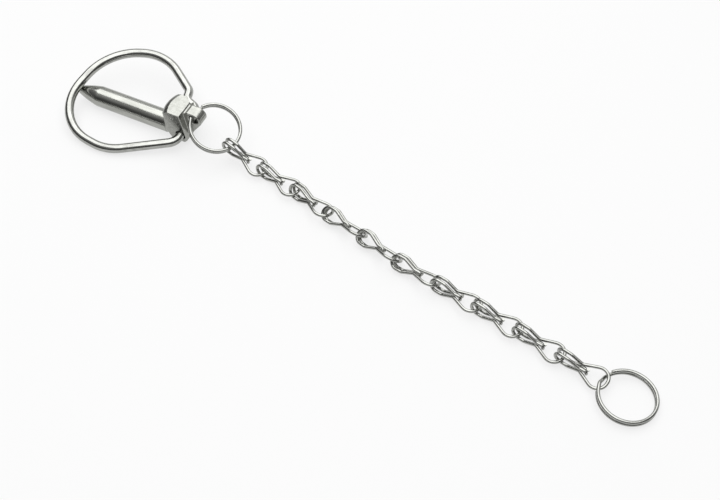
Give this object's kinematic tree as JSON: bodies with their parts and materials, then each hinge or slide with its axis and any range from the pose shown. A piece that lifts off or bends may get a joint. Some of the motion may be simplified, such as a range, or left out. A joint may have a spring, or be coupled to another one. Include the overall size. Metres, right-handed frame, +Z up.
{
  "type": "lynch pin with chain",
  "caption": "Lynch pin with a tapered round shaft, a block head, a D-shaped spring bail and a chain of knotted wire links between two split rings.",
  "frame": {"origin": "on the shaft axis, where the shaft leaves the front of the head", "axes": "+X along the shaft from tip to head, +Z up off the floor the pin lies on"},
  "size_m": [0.3362, 0.1004, 0.0223],
  "materials": {
    "plated_steel": "bright zinc plate over forged and turned steel",
    "bright_wire": "bright plated drawn wire"
  },
  "bodies": {
    "pin": {"pin": "plated_steel"},
    "bail": {"bail": "bright_wire"},
    "pin_ring": {"pin_ring": "bright_wire"},
    "link_01": {"link_01": "bright_wire"},
    "link_02": {"link_02": "bright_wire"},
    "link_03": {"link_03": "bright_wire"},
    "link_04": {"link_04": "bright_wire"},
    "link_05": {"link_05": "bright_wire"},
    "link_06": {"link_06": "bright_wire"},
    "link_07": {"link_07": "bright_wire"},
    "link_08": {"link_08": "bright_wire"},
    "link_09": {"link_09": "bright_wire"},
    "link_10": {"link_10": "bright_wire"},
    "end_ring": {"end_ring": "bright_wire"}
  },
  "joints": [
    {"name": "bail_swing", "type": "hinge", "parent": "pin", "child": "bail", "pos_m": [0.0102, -0.00019, 0.00279], "axis": [0, 0.9724, 0.2334], "range_deg": [0, 150]},
    {"name": "pin_ring_swing", "type": "hinge", "parent": "pin", "child": "pin_ring", "pos_m": [0.01741, -0.00089, 0.01277], "axis": [0, 0.9976, 0.0698], "range_deg": [-60, 40]},
    {"name": "link_01_turn", "type": "hinge", "parent": "pin_ring", "child": "link_01", "pos_m": [0.03926, -0.00447, 0.00348], "axis": [0.3291, 0.9418, 0.0682], "range_deg": [-20, 20]},
    {"name": "link_02_turn", "type": "hinge", "parent": "link_01", "child": "link_02", "pos_m": [0.05952, -0.0075, -0.00244], "axis": [0.1705, 0.9818, 0.0839], "range_deg": [-20, 20]},
    {"name": "link_03_turn", "type": "hinge", "parent": "link_02", "child": "link_03", "pos_m": [0.08091, -0.01267, -0.00186], "axis": [0.234, 0.9717, -0.0314], "range_deg": [-20, 7]},
    {"name": "link_04_turn", "type": "hinge", "parent": "link_03", "child": "link_04", "pos_m": [0.10217, -0.01893, -0.00151], "axis": [0.2572, 0.9051, -0.3386], "range_deg": [-20, 11]},
    {"name": "link_05_turn", "type": "hinge", "parent": "link_04", "child": "link_05", "pos_m": [0.12375, -0.02464, -0.00071], "axis": [0.1957, 0.6822, -0.7045], "range_deg": [-20, 20]},
    {"name": "link_06_turn", "type": "hinge", "parent": "link_05", "child": "link_06", "pos_m": [0.14504, -0.03114, -0.00061], "axis": [0.2251, 0.677, -0.7007], "range_deg": [-20, 20]},
    {"name": "link_07_turn", "type": "hinge", "parent": "link_06", "child": "link_07", "pos_m": [0.16702, -0.03514, -0.00115], "axis": [0.1476, 0.8388, -0.524], "range_deg": [-20, 20]},
    {"name": "link_08_turn", "type": "hinge", "parent": "link_07", "child": "link_08", "pos_m": [0.18905, -0.03882, -0.00191], "axis": [0.1533, 0.9689, -0.194], "range_deg": [-20, 20]},
    {"name": "link_09_turn", "type": "hinge", "parent": "link_08", "child": "link_09", "pos_m": [0.21085, -0.04306, -0.0023], "axis": [0.1878, 0.9809, -0.0505], "range_deg": [-20, 20]},
    {"name": "link_10_turn", "type": "hinge", "parent": "link_09", "child": "link_10", "pos_m": [0.23268, -0.0475, -0.00239], "axis": [0.1994, 0.9799, 0], "range_deg": [-20, 20]},
    {"name": "end_ring_turn", "type": "hinge", "parent": "link_10", "child": "end_ring", "pos_m": [0.25448, -0.05214, -0.00182], "axis": [0.211, 0.9635, 0.1649], "range_deg": [-8, 1]}
  ]
}
